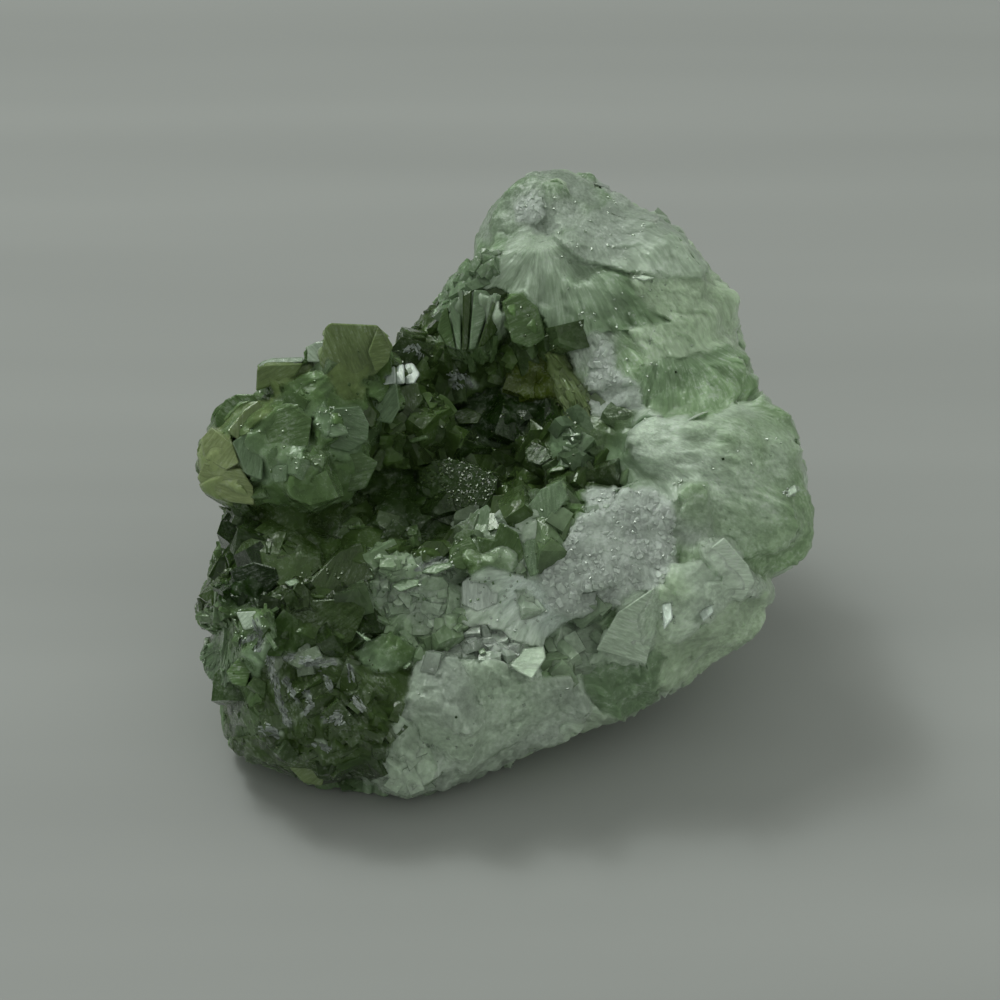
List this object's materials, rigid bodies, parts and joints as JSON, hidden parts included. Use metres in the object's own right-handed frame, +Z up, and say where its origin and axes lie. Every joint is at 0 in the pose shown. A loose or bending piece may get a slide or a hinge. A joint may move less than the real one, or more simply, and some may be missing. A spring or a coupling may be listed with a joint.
{
  "type": "prehnite cluster",
  "caption": "Small lumpy cluster of pale to dark green prehnite crystals grown together, with an open crystal pocket between two high lobes and a flat broken patch to rest on.",
  "frame": {"origin": "middle of the stone's bounding box in plan, on the plane it rests on", "axes": "+Z up, -Y towards the viewer of the side with the dark pocket, +X to that viewer's right"},
  "size_m": [0.0444, 0.0448, 0.0311],
  "materials": {
    "prehnite": "glassy to pearly crystal, pale green to dark green"
  },
  "bodies": {
    "root": {"prehnite_cluster": "prehnite"}
  },
  "joints": []
}
